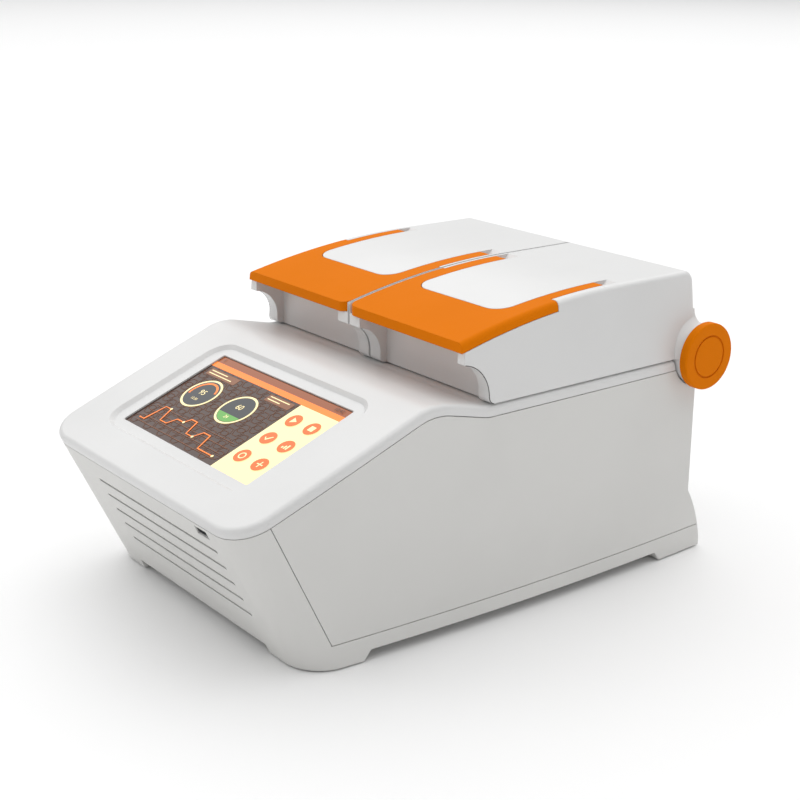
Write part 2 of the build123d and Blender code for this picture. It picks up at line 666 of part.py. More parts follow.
def lid_profile(front):
    """Side view of a lid with its coved front cheeks."""
    nose_z = cove_z + math.sqrt(cove_r ** 2 - (front - cove_y) ** 2)
    middle = cove_r * math.sqrt(0.5)
    bend = toe_r * (1 - math.sqrt(0.5))
    line = crown_line(front, rear_y, 0)
    line += Polyline((rear_y, lid_top_z), (rear_y, lid_z), (cheek_front + toe_r, lid_z))
    line += ThreePointArc((cheek_front + toe_r, lid_z), (cheek_front + bend, lid_z + bend),
                          (cheek_front, lid_z + toe_r))
    line += Line((cheek_front, lid_z + toe_r), (cheek_front, cove_z))
    line += ThreePointArc((cheek_front, cove_z), (cove_y + middle, cove_z + middle), (front, nose_z))
    line += Line((front, nose_z), (front, crown_at(front, 0)))
    return fillet_at(make_face(line), lid_tail_r, (rear_y, lid_top_z))


def lid_form(front):
    """Outer form of a lid, full width, with soft outer edges."""
    form = side_prism(lid_profile(front), 0, reach) & lid_sides(0, lid_z - 1)
    shoulder = [e for e in form.edges() if e.center().X > lid_side - 16
                and e.center().Z > lid_z + 0.76 * (lid_top_z - lid_z)
                and e.center().Y > front + 5]
    rear = [e for e in form.edges() if e.center().X > lid_side - 10 and e.center().Y > rear_y - 1
            and abs(e.center().Z - (lid_z + lid_top_z) / 2) < 20]
    return fillet(shoulder + rear, shoulder_r)


# Lever handle: a wide front plate and two arms that straddle the white panel
arm_in = inner_arm_in + arm_w
outer_arm_in = arm_out - 9.0
pivot_y = handle_arm_end - handle_t / 2
pivot_z = lid_top_z - handle_t / 2
arms = ((inner_arm_in, arm_in), (outer_arm_in, arm_out))


def handle_plan(grow):
    """Plan view of the lever handle, grown all round."""
    x0, x1 = lid_split + handle_edge - grow, reach
    y0, y1 = handle_front - grow, handle_wide_end + grow
    plan = Pos((x0 + x1) / 2, (y0 + y1) / 2) * Rectangle(x1 - x0, y1 - y0)
    for x0, x1 in arms:
        arm = Rectangle(x1 - x0 + 2 * grow, pivot_y - panel_front)
        plan += Pos((x0 + x1) / 2, (panel_front + pivot_y) / 2) * arm
    gap_w = outer_arm_in - arm_in - 2 * grow
    cut = Pos((arm_in + outer_arm_in) / 2, panel_front + grow + reach) * RectangleRounded(gap_w, 2 * reach, panel_r)
    return plan - cut


def handle_zone(grow, deep, high):
    """Space of the handle, grown all round, between the lid's top lowered by deep and a height."""
    floor = side_prism(under_crown(handle_front - 20, tail_y, lid_z - 10, deep), -reach, reach)
    return xy_prism(handle_plan(grow), lid_z, high) - floor


lever_zone = handle_zone(0, handle_t, lid_top_z + 5)
for x0, x1 in arms:
    lever_zone += rod(handle_t / 2, x0, x1, pivot_y, pivot_z)
handle = lid_form(handle_front) & lever_zone
nose = [e for e in handle.edges() if abs(e.center().Y - handle_front) < 0.5
        and abs(e.center().Z - crown_at(handle_front, handle_t / 2)) < 1.5
        and (e.center().X < lid_split + 3 or e.center().X > lid_side - 10)]
handle = fillet(nose, nose_r)
tab_x, tab_y, tab_low = 1.2, 3.0, pivot_z - 21.0
handle += box(lid_mid - tab_x, lid_mid + tab_x, latch_y - tab_y, latch_y + tab_y, tab_low,
              crown_at(latch_y, handle_t / 2))
for x0, x1 in arms:
    handle -= rod(pivot_r + run_fit, x0 - 1, x1 + 1, pivot_y, pivot_z)

# Lid shell
pocket_drop = handle_t + pocket_gap
roof_drop = pocket_drop + lid_wall
lid_shell = lid_form(block_front)
middle_in, middle_out = lid_split + cheek_w, lid_side - cheek_w
lid_shell -= box(middle_in, middle_out, block_front - 5, lid_front, lid_z - 1, lid_top_z + 10)
pocket = handle_zone(handle_gap, pocket_drop, lid_top_z + 5)
ramp_low = crown_at(pivot_y, pocket_drop)
ramp_back = pivot_y + handle_t / 2 + handle_gap
ramp = polygon((pivot_y, ramp_low), (ramp_back, ramp_low), (ramp_end, lid_top_z), (ramp_end, lid_top_z + 5),
               (pivot_y, lid_top_z + 5))
for x0, x1 in arms:
    pocket += side_prism(ramp, x0 - handle_gap, x1 + handle_gap)
lid_shell -= pocket
hollow_front, hollow_back = lid_front + lid_wall, rear_y - lid_wall
hollow = side_prism(under_crown(hollow_front, hollow_back, lid_z - 1, roof_drop), -reach, reach)
panel_x0, panel_x1 = arm_in + handle_gap + lid_wall, outer_arm_in - handle_gap - lid_wall
panel_hollow = under_crown(panel_front + handle_gap + lid_wall, hollow_back, lid_z - 1, lid_wall)
hollow += side_prism(panel_hollow, panel_x0, panel_x1)
lid_shell -= hollow & lid_sides(lid_wall, lid_z - 1)

# Round ear with a flared neck, inner knuckle, and notches round the hinge blocks
ear_face = cap_face - cap_t
flare = polygon((ear_in, hinge_pin_r), (ear_in, ear_r + neck_r), (ear_face - 1, ear_r + neck_r),
                (ear_face - 1, hinge_pin_r))
flare -= Pos(ear_face - 1, ear_r + neck_r) * Circle(neck_r)
front_view = Plane(origin=(0, hinge_y, hinge_z), x_dir=(1, 0, 0), z_dir=(0, -1, 0))
neck = revolve(front_view * flare, Axis((0, hinge_y, hinge_z), (1, 0, 0)), 360)
lid_shell += neck & box(0, cap_face, front_y, rear_y, lid_z, lid_top_z)
lid_shell += rod(ear_r, ear_in, ear_face, hinge_y, hinge_z)
notch_out = rod(knuckle_r + knuckle_gap, block_in - knuckle_gap, ear_in, hinge_y, hinge_z)
lid_shell -= notch_out
lid_shell -= rod(knuckle_r + knuckle_gap, 0, inner_knuckle[0], hinge_y, hinge_z)
lid_shell += rod(knuckle_r, *inner_knuckle, hinge_y, hinge_z)
spigot_r, spigot_t = 8.0, 2.5
lid_shell -= rod(hinge_pin_r + run_fit, ear_in - 1, ear_face + 1, hinge_y, hinge_z)
lid_shell -= rod(hinge_pin_r + run_fit, centre_half, inner_knuckle[1] + 0.1, hinge_y, hinge_z)
lid_shell -= rod(spigot_r + run_fit, ear_face - spigot_t, ear_face + 1, hinge_y, hinge_z)

# Latch: ribs behind the lid's front wall, a pin, and a hook that the handle swings clear of the striker
latch_z = lid_z + 25.0
latch_pin_r = 2.0
rib_in, rib_out = 7.5, 10.5
hook_front, hook_half = latch_y - 2.0, 6.0
striker_y = latch_y + 5.4
striker_top = under_deck - rest_fit
striker_t = 2.5
toe_top = striker_top - striker_t - 0.4
toe_low = toe_top - 3.1
for x in (-1, 1):
    lid_shell += box(lid_mid + x * rib_in, lid_mid + x * rib_out, hollow_front - 0.5, latch_y + 7,
                     latch_z - 8, latch_z + 8)
lid_shell -= rod(latch_pin_r + run_fit, lid_mid - rib_out - 1, lid_mid + rib_out + 1, latch_y, latch_z)
lid_shell -= box(lid_mid - tab_x - 1, lid_mid + tab_x + 1, latch_y - tab_y - 3.5, latch_y + tab_y + 1,
                 latch_z + 10, lid_top_z + 5)
hook = rod(4.5, lid_mid - rib_in + 1, lid_mid + rib_in - 1, latch_y, latch_z)
hook += box(lid_mid - hook_half, lid_mid + hook_half, hook_front, hook_front + 4, toe_low, latch_z)
hook += box(lid_mid - hook_half, lid_mid + hook_half, hook_front, striker_y - 0.4, toe_low, toe_top)
hook += box(lid_mid + tab_x + 1, lid_mid + hook_half, latch_y - 2, latch_y + 2, latch_z, tab_low + 4)
hook -= rod(latch_pin_r + run_fit, lid_mid - rib_out, lid_mid + rib_out, latch_y, latch_z)
striker = box(lid_mid - 16, lid_mid + 16, striker_y, striker_y + 8, striker_top - striker_t, striker_top)

# Pivot pins of the handle
pins = [rod(pivot_r, lid_split + 0.8, panel_x0 - 0.1, pivot_y, pivot_z)]
pins.append(rod(pivot_r, panel_x1 + 0.1, arm_out + 4, pivot_y, pivot_z))
lid_shell -= rod(pivot_r + run_fit, lid_split + 0.7, panel_x0 + 1, pivot_y, pivot_z)
lid_shell -= rod(pivot_r + run_fit, panel_x1 - 1, arm_out + 4.1, pivot_y, pivot_z)

# Inner floor of the lid, with the hot plate, its bridge and its springs
floor_top = lid_z + lid_floor_t
lid_floor = box(0, reach, hollow_front + rest_fit, hollow_back - rest_fit, lid_z, floor_top)
lid_floor &= lid_sides(lid_wall + rest_fit, lid_z - 1)
lid_floor -= rounded(lid_mid, block_y, block_w + 4, block_l + 4, 3, lid_z - 1, floor_top + 1)
lid_floor -= box(lid_mid - rib_in, lid_mid + rib_in, lid_front + 5, latch_y + 5, lid_z - 1, floor_top + 1)
lid_floor -= rod(ear_r + neck_r + rest_fit, ear_in - rest_fit, reach, hinge_y, hinge_z)
lid_floor -= notch_out
lid_floor -= rod(knuckle_r + knuckle_gap, 0, inner_knuckle[1] + knuckle_gap, hinge_y, hinge_z)
plate_top = floor_top + rest_fit
hot_plate = rounded(lid_mid, block_y, block_w, block_l, 2, block_z + plate_gap, plate_top + 0.1)
hot_plate += rounded(lid_mid, block_y, block_w + 10, block_l + 10, 5, plate_top, plate_top + 2)
bridge_z, bridge_t, bridge_w, bridge_half = plate_top + 12, 1.5, 24.0, block_l / 2 + 10
bridge = box(lid_mid - bridge_w / 2, lid_mid + bridge_w / 2, block_y - bridge_half, block_y + bridge_half,
             bridge_z, bridge_z + bridge_t)
for end in (-1, 1):
    y = block_y + end * bridge_half
    bridge += box(lid_mid - bridge_w / 2, lid_mid + bridge_w / 2, y, y - end * bridge_t, floor_top, bridge_z)
    bridge += box(lid_mid - bridge_w / 2, lid_mid + bridge_w / 2, y, y + end * 6, floor_top, floor_top + bridge_t)
springs = []
spring_low, spring_high, spring_t, spring_span = plate_top + 2.1, bridge_z - 0.1, 0.6, 15.0
for end in (-1, 1):
    y = block_y + end * 20
    ends = [(y - spring_span, spring_low), (y, spring_high), (y + spring_span, spring_low)]
    inside = [(py, pz - spring_t) for py, pz in ends]
    strip = make_face(ThreePointArc(*ends) + Line(ends[2], (y + spring_span - 1.2, spring_low))
                      + ThreePointArc((y + spring_span - 1.2, spring_low), inside[1], (y - spring_span + 1.2, spring_low))
                      + Line((y - spring_span + 1.2, spring_low), ends[0]))
    springs.append(side_prism(strip, lid_mid - 6, lid_mid + 6))

# Hinge pins, and the round cap on the outside of each ear
outer_pin = rod(hinge_pin_r, block_in - 0.5, ear_face - spigot_t - 0.3, hinge_y, hinge_z)
inner_pin = rod(hinge_pin_r, 1.5, inner_knuckle[1], hinge_y, hinge_z)
cap = rod(cap_r, ear_face, cap_face, hinge_y, hinge_z)
rim = [e for e in cap.edges() if e.center().X > cap_face - 0.5]
cap = fillet(rim, 1.2)
cap -= rod(cap_ring_r, cap_face - 0.8, cap_face + 1, hinge_y, hinge_z) - rod(cap_ring_r - 1.2, cap_face - 2, cap_face + 2,
                                                                          hinge_y, hinge_z)
cap += rod(spigot_r, ear_face - spigot_t + 0.3, ear_face, hinge_y, hinge_z)

lid_pieces = {
    "lid_shell": lid_shell,
    "lid_floor": lid_floor,
    "hot_plate": hot_plate,
    "plate_bridge": bridge,
    "pressure_springs": Compound(springs),
    "handle": handle,
    "handle_pins": Compound(pins),
    "latch_hook": hook,
    "latch_pin": rod(latch_pin_r, lid_mid - rib_out, lid_mid + rib_out, latch_y, latch_z),
    "latch_striker": striker,
    "hinge_pin_outer": outer_pin,
    "hinge_pin_inner": inner_pin,
    "hinge_cap": cap,
}
for node, shape in lid_pieces.items():
    for name, side in sides.items():
        save(node + "_" + name, mirrored(shape, side))
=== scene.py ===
"""Looks of a twin-block thermal cycler: moulded white housing, orange lever handles, leaning touch screen.

Everything stands in the frame of the CAD model, in metres: +X to the right as seen from the front,
+Y to the rear, +Z up, with the origin on the bench under the middle of the instrument.
"""
from __future__ import annotations

import json
import logging
import math
from dataclasses import dataclass, field
from enum import Enum
from typing import Any, Sequence

import bmesh
import bpy
from mathutils import Matrix, Vector


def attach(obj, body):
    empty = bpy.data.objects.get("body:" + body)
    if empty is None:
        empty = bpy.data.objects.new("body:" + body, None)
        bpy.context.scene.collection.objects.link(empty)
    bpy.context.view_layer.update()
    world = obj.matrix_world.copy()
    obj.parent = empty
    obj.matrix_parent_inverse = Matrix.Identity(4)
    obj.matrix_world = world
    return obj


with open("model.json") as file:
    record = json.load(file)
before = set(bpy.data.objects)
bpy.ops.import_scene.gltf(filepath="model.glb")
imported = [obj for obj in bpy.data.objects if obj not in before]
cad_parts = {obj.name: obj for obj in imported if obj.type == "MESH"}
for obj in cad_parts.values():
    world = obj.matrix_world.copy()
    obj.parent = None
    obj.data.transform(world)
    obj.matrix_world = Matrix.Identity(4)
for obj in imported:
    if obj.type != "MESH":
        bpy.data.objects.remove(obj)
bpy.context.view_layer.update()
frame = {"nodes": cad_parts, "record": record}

log = logging.getLogger("thermal_cycler")
logging.basicConfig(level=logging.INFO, format="%(name)s: %(message)s")

MM = 0.001
Point = tuple[float, float]
Shape = tuple[Sequence[Point], Sequence[Sequence[Point]]]
Colour = tuple[float, float, float]


class Side(Enum):
    """The two halves of the instrument, with the sign of X on each."""

    LEFT = -1
    RIGHT = 1

    @property
    def word(self) -> str:
        """The side's name as the nodes spell it."""
        return self.name.lower()


class Slot(Enum):
    """Material slots of the record."""

    COVER = "white_cover"
    HOUSING = "white_housing"
    LID = "white_lid"
    ORANGE = "orange_plastic"
    RUBBER = "black_rubber"
    GLASS = "glass_screen"
    BLACK = "black_plastic"
    GREY = "grey_plastic"
    BOARD = "green_board"
    ZINC = "zinc_steel"
    STEEL = "bright_steel"
    ALUMINIUM = "aluminium"
    CERAMIC = "white_ceramic"
    BRASS = "brass"


# Shader graphs


class NodeTree:
    """A tree of nodes that is built node by node."""

    tree: bpy.types.NodeTree

    def node(self, kind: str, settings: dict[str, Any] | None = None,
             inputs: dict[str | int, Any] | None = None, out: str | int = 0) -> "Value":
        """Adds one node.

        Args:
            kind: Blender's type of the node.
            settings: Properties set before the sockets, with "stops" for a ramp's colours.
            inputs: Values, colours or links of its sockets, by name or number.
            out: The output to return.

        Returns:
            The output socket, ready for arithmetic.
        """
        made = self.tree.nodes.new(kind)
        for key, setting in (settings or {}).items():
            if key == "stops":
                self._stops(made.color_ramp, setting)
            else:
                setattr(made, key, setting)
        for key, given in (inputs or {}).items():
            self.feed(made.inputs[key], given)
        return Value(self, made.outputs[out])

    @staticmethod
    def _stops(ramp: bpy.types.ColorRamp, stops: Sequence[tuple[float, Sequence[float]]]) -> None:
        """Sets a ramp's stops.

        Args:
            ramp: The ramp.
            stops: Place and colour of each stop.
        """
        while len(ramp.elements) < len(stops):
            ramp.elements.new(0.5)
        for element, (place, colour) in zip(ramp.elements, stops):
            element.position = place
            element.color = (*colour, 1.0) if len(colour) == 3 else colour

    def feed(self, socket: bpy.types.NodeSocket, given: Any) -> None:
        """Sets or links a socket.

        Args:
            socket: The input.
            given: A Value, a number, or a colour or vector as a tuple.
        """
        if isinstance(given, Value):
            self.tree.links.new(given.socket, socket)
        elif isinstance(given, (int, float)):
            socket.default_value = given
        else:
            wanted = len(socket.default_value)
            socket.default_value = tuple(given) + (1.0,) * (wanted - len(given))


class Graph(NodeTree):
    """The node tree of one material."""

    def __init__(self, name: str) -> None:
        """Starts an empty tree with a Principled shader.

        Args:
            name: The material's name.
        """
        self.material = bpy.data.materials.new(name)
        self.material.use_nodes = True
        self.tree = self.material.node_tree
        self.tree.nodes.clear()
        output = self.tree.nodes.new("ShaderNodeOutputMaterial")
        self.shader = self.tree.nodes.new("ShaderNodeBsdfPrincipled")
        self.tree.links.new(self.shader.outputs["BSDF"], output.inputs["Surface"])

    def set(self, **sockets: Any) -> None:
        """Sets the shader's sockets; an underscore in a keyword stands for a space."""
        for name, given in sockets.items():
            self.feed(self.shader.inputs[name.replace("_", " ")], given)

    def place(self, axes: Sequence[float] = (1.0, 1.0, 1.0),
              turn: Sequence[float] = (0.0, 0.0, 0.0)) -> "Value":
        """Object coordinates, stretched or turned.

        Args:
            axes: Scale along each axis.
            turn: Turn about each axis, in radians.
        """
        here = self.node("ShaderNodeTexCoord", out="Object")
        return self.node("ShaderNodeMapping", inputs={"Vector": here, "Scale": axes, "Rotation": turn})

    def noise(self, scale: float, detail: float = 2.0, rough: float = 0.5,
              where: "Value | None" = None) -> "Value":
        """Cloudy noise between 0 and 1."""
        where = where or self.place()
        return self.node("ShaderNodeTexNoise", inputs={"Vector": where, "Scale": scale, "Detail": detail,
                                                       "Roughness": rough})

    def ramp(self, value: "Value", low: float, high: float) -> "Value":
        """Maps a range onto 0 to 1 with soft ends."""
        return self.node("ShaderNodeMapRange", {"interpolation_type": "SMOOTHSTEP"},
                         {"Value": value, "From Min": low, "From Max": high})

    def blend(self, factor: "Value", first: Any, second: Any) -> "Value":
        """Colour between two colours."""
        return self.node("ShaderNodeMix", {"data_type": "RGBA"}, {0: factor, 6: first, 7: second}, out=2)

    def bump(self, height: "Value", distance: float, strength: float = 1.0,
             normal: "Value | None" = None) -> None:
        """Feeds the shader's normal from a height.

        Args:
            height: The height, 0 to 1.
            distance: What 1 stands for, in metres.
            strength: Share of the effect.
            normal: What the height is added to, or None for the surface's own normal.
        """
        inputs: dict[str | int, Any] = {"Height": height, "Distance": distance, "Strength": strength}
        if normal:
            inputs["Normal"] = normal
        self.set(Normal=self.node("ShaderNodeBump", inputs=inputs))

    def soft_edges(self, radius: float) -> "Value":
        """A normal that rounds edges by a radius, as moulded plastic has them."""
        return self.node("ShaderNodeBevel", {"samples": 4}, {"Radius": radius})


class Value:
    """A socket that takes part in arithmetic."""

    def __init__(self, graph: NodeTree, socket: bpy.types.NodeSocket) -> None:
        """Wraps a socket of a graph."""
        self.graph = graph
        self.socket = socket

    def _maths(self, operation: str, first: Any, second: Any) -> "Value":
        """Adds one Math node."""
        return self.graph.node("ShaderNodeMath", {"operation": operation}, {0: first, 1: second})

    def __add__(self, other: Any) -> "Value":
        """Sum."""
        return self._maths("ADD", self, other)

    __radd__ = __add__

    def __sub__(self, other: Any) -> "Value":
        """Difference."""
        return self._maths("SUBTRACT", self, other)

    def __rsub__(self, other: Any) -> "Value":
        """Difference the other way round."""
        return self._maths("SUBTRACT", other, self)

    def __mul__(self, other: Any) -> "Value":
        """Product."""
        return self._maths("MULTIPLY", self, other)

    __rmul__ = __mul__


class Repeats(NodeTree):
    """A Geometry Nodes tree that makes a repeated shape, with named sizes."""

    def __init__(self, name: str, sizes: dict[str, float | int], base: bpy.types.Mesh | None = None) -> None:
        """Starts the tree.

        Args:
            name: The tree's name.
            sizes: Its named inputs and their values.
            base: Mesh whose points the tree starts from.
        """
        self.name = name
        self.sizes = sizes
        self.base = base or bpy.data.meshes.new(name)
        self.tree = bpy.data.node_groups.new(name, "GeometryNodeTree")
        self.tree.interface.new_socket("Geometry", in_out="INPUT", socket_type="NodeSocketGeometry")
        for key, value in sizes.items():
            kind = "NodeSocketInt" if isinstance(value, int) else "NodeSocketFloat"
            self.tree.interface.new_socket(key, in_out="INPUT", socket_type=kind)
        self.tree.interface.new_socket("Geometry", in_out="OUTPUT", socket_type="NodeSocketGeometry")
        self.source = self.tree.nodes.new("NodeGroupInput")

    def size(self, name: str) -> "Value":
        """The named input."""
        return Value(self, self.source.outputs[name])

    def result(self, geometry: "Value", finish: "Finish") -> bpy.types.Object:
        """Closes the tree and returns its result as a plain mesh.

        Args:
            geometry: The last geometry socket.
            finish: What the result is dressed in.

        Returns:
            The object, without modifiers.
        """
        real = self.node("GeometryNodeRealizeInstances", inputs={"Geometry": geometry})
        dressed = self.node("GeometryNodeSetMaterial", inputs={"Geometry": real})
        dressed.socket.node.inputs["Material"].default_value = finish.material()
        output = self.tree.nodes.new("NodeGroupOutput")
        self.tree.links.new(dressed.socket, output.inputs["Geometry"])
        holder = MeshKit.link(self.name, self.base)
        modifier = holder.modifiers.new(self.name, "NODES")
        modifier.node_group = self.tree
        for item in self.tree.interface.items_tree:
            if item.in_out == "INPUT" and item.name in self.sizes:
                modifier[item.identifier] = self.sizes[item.name]
        bpy.context.view_layer.update()
        mesh = bpy.data.meshes.new_from_object(holder.evaluated_get(bpy.context.evaluated_depsgraph_get()))
        bpy.data.objects.remove(holder)
        return MeshKit.link(self.name, mesh)


# Finishes


@dataclass(frozen=True)
class Finish:
    """A finish that several pieces share."""

    name: str
    colour: Colour

    def build(self, graph: Graph) -> None:
        """Builds the shader. Each kind of finish has its own."""
        graph.set(Base_Color=self.colour)

    def material(self) -> bpy.types.Material:
        """The material of this finish, built once."""
        known = bpy.data.materials.get(self.name)
        if known:
            return known
        graph = Graph(self.name)
        self.build(graph)
        return graph.material


@dataclass(frozen=True)
class Moulded(Finish):
    """Injection-moulded plastic: fine spark-eroded grain, faint clouding, a few handling marks."""

    rough: float = 0.35
    grain: float = 0.00002
    gloss: float = 0.0
    grain_scale: float = 1800.0
    edge: float = 0.0006
    shine: float = 0.5

    def build(self, graph: Graph) -> None:
        """Builds the plastic with its grain and clouding."""
        cloud = graph.noise(9.0, 3.0)
        marks = graph.ramp(graph.noise(70.0, 6.0, 0.7), 0.56, 0.72)
        darker = tuple(c * 0.965 for c in self.colour)
        graph.set(Base_Color=graph.blend(graph.ramp(cloud, 0.35, 0.7), self.colour, darker),
                  Roughness=graph.ramp(cloud, 0.2, 0.8) * 0.06 + marks * 0.05 + self.rough,
                  Coat_Weight=self.gloss, Coat_Roughness=0.12, IOR=1.49, Specular_IOR_Level=self.shine)
        graph.bump(graph.noise(self.grain_scale, 2.0), self.grain, 0.5, graph.soft_edges(self.edge))


@dataclass(frozen=True)
class Metal(Finish):
    """Metal with a brushed or ground surface."""

    rough: float = 0.3
    lay: Colour = (1.0, 1.0, 1.0)
    lay_scale: float = 900.0

    def build(self, graph: Graph) -> None:
        """Builds the metal with its lay and a faint tarnish."""
        lay = graph.noise(self.lay_scale, 3.0, 0.6, graph.place(self.lay))
        tarnish = graph.noise(35.0, 4.0)
        dull = tuple(c * 0.86 for c in self.colour)
        graph.set(Base_Color=graph.blend(graph.ramp(tarnish, 0.4, 0.75), self.colour, dull), Metallic=1.0,
                  Roughness=lay * 0.16 + (self.rough - 0.05))
        graph.bump(lay, 0.00002, 0.35)


@dataclass(frozen=True)
class SoftRubber(Finish):
    """Rubber with a dusty bloom."""

    def build(self, graph: Graph) -> None:
        """Builds the rubber with its bloom."""
        dust = graph.ramp(graph.noise(120.0, 5.0, 0.65), 0.45, 0.8)
        pale = tuple(c + 0.05 for c in self.colour)
        graph.set(Base_Color=graph.blend(dust, self.colour, pale), Roughness=dust * 0.12 + 0.72)
        graph.bump(graph.noise(900.0, 3.0), 0.00004, 0.5)


@dataclass(frozen=True)
class Lit(Finish):
    """A lit patch of the screen behind its cover glass."""

    glow: float = 0.9

    def build(self, graph: Graph) -> None:
        """Builds the patch: a glossy dark surface that glows in its colour."""
        smear = graph.ramp(graph.noise(40.0, 4.0, 0.6), 0.4, 0.75)
        graph.set(Base_Color=tuple(c * 0.25 for c in self.colour), Emission_Color=self.colour,
                  Emission_Strength=self.glow, Roughness=smear * 0.05 + 0.08, IOR=1.5)


COVER = Moulded("cover white plastic", (0.73, 0.73, 0.725), 0.32, 0.000012, 0.1)
HOUSING = Moulded("housing white plastic", (0.71, 0.705, 0.685), 0.46, 0.00003)
LID = Moulded("lid white plastic", (0.74, 0.74, 0.735), 0.32, 0.000012, 0.1)
ORANGE = Moulded("orange plastic", (0.755, 0.190, 0.0015), 0.55, 0.000015, shine=0.03)
BLACK = Moulded("black plastic", (0.018, 0.018, 0.02), 0.45, 0.00003)
GREY = Moulded("grey plastic", (0.22, 0.22, 0.23), 0.5, 0.00003)
BOARD = Moulded("green board", (0.015, 0.12, 0.045), 0.3, 0.00001, 0.4)
CERAMIC = Moulded("white ceramic", (0.78, 0.77, 0.72), 0.4, 0.00001)
RUBBER = SoftRubber("black rubber", (0.02, 0.02, 0.02))
ZINC = Metal("zinc plated steel", (0.62, 0.62, 0.58), 0.34, (1.0, 0.06, 1.0))
STEEL = Metal("ground steel", (0.66, 0.66, 0.67), 0.24, (0.05, 1.0, 1.0))
ALUMINIUM = Metal("machined aluminium", (0.80, 0.80, 0.81), 0.3, (1.0, 0.08, 1.0))
BRASS = Metal("plated brass", (0.72, 0.5, 0.2), 0.28)

# Painted shade: dark grey for thin tubes that stand in for the shadow in the lid seams.
SHADOW = Moulded("dark seam", (0.09, 0.09, 0.09), 0.6, 0.00001)

DRESS: dict[Slot, Finish] = {
    Slot.COVER: COVER,
    Slot.HOUSING: HOUSING,
    Slot.LID: LID,
    Slot.ORANGE: ORANGE,
    Slot.RUBBER: RUBBER,
    Slot.GLASS: BLACK,
    Slot.BLACK: BLACK,
    Slot.GREY: GREY,
    Slot.BOARD: BOARD,
    Slot.ZINC: ZINC,
    Slot.STEEL: STEEL,
    Slot.ALUMINIUM: ALUMINIUM,
    Slot.CERAMIC: CERAMIC,
    Slot.BRASS: BRASS,
}


# Studio and camera


@dataclass
class Camera:
    """The photograph's viewpoint, as found from the screen's and the housing's corners."""

    place: tuple[float, float, float] = (0.79683, -0.61709, 0.44768)
    azimuth: float = 51.73
    elevation: float = 18.11
    roll: float = 0.68
    focal_pixels: float = 1495.43
    picture: float = 800.0
    sensor: float = 36.0

    def build(self) -> None:
        """Adds the camera and makes it the scene's."""
        a, e, r = (math.radians(v) for v in (self.azimuth, self.elevation, self.roll))
        back = Vector((math.sin(a) * math.cos(e), -math.cos(a) * math.cos(e), math.sin(e)))
        level = Vector((math.cos(a), math.sin(a), 0.0))
        upright = back.cross(level)
        right = math.cos(r) * level + math.sin(r) * upright
        up = -math.sin(r) * level + math.cos(r) * upright
        data = bpy.data.cameras.new("photo camera")
        data.sensor_width = self.sensor
        data.lens = self.focal_pixels / self.picture * self.sensor
        data.clip_end = 20.0
        camera = bpy.data.objects.new("photo camera", data)
        turn = Matrix((right, up, back)).transposed().to_4x4()
        camera.matrix_world = Matrix.Translation(self.place) @ turn
        bpy.context.scene.collection.objects.link(camera)
        bpy.context.scene.camera = camera
        log.info("camera: %.1f mm lens", data.lens)


@dataclass
class Studio:
    """Pale floor and large soft lights."""

    floor_size: float = 30.0
    floor_grey: float = 0.92
    sky: float = 0.45
    lamps: tuple[tuple[str, tuple[float, float, float], float, float], ...] = (
        ("overhead", (-1.0, 1.0, 5.0), 14.0, 520.0),
        ("front left", (-1.4, -1.8, 1.3), 1.2, 5.0),
    )

    def build(self) -> None:
        """Adds the floor, the sky and the lamps."""
        half = self.floor_size / 2
        floor = MeshKit.plates("studio floor", [(bar(-half, -half, half, half), ())], -0.01, -0.0002)
        graph = Graph("pale floor")
        graph.set(Base_Color=(self.floor_grey,) * 3, Roughness=0.6)
        floor.data.materials.append(graph.material)
        bpy.context.scene.view_settings.view_transform = "Standard"
        world = bpy.data.worlds.new("soft studio")
        bpy.context.scene.world = world
        world.use_nodes = True
        background = world.node_tree.nodes["Background"]
        background.inputs["Color"].default_value = (1.0, 1.0, 1.0, 1.0)
        background.inputs["Strength"].default_value = self.sky
        for name, place, size, power in self.lamps:
            lamp = bpy.data.lights.new(name, "AREA")
            lamp.shape = "DISK"
            lamp.size = size
            lamp.energy = power
            holder = bpy.data.objects.new(name, lamp)
            holder.location = place
            aim = Vector((0.0, 0.0, 0.1)) - Vector(place)
            holder.rotation_euler = aim.to_track_quat("-Z", "Y").to_euler()
            bpy.context.scene.collection.objects.link(holder)
        log.info("studio: floor and %d lamps", len(self.lamps))


# Mesh making


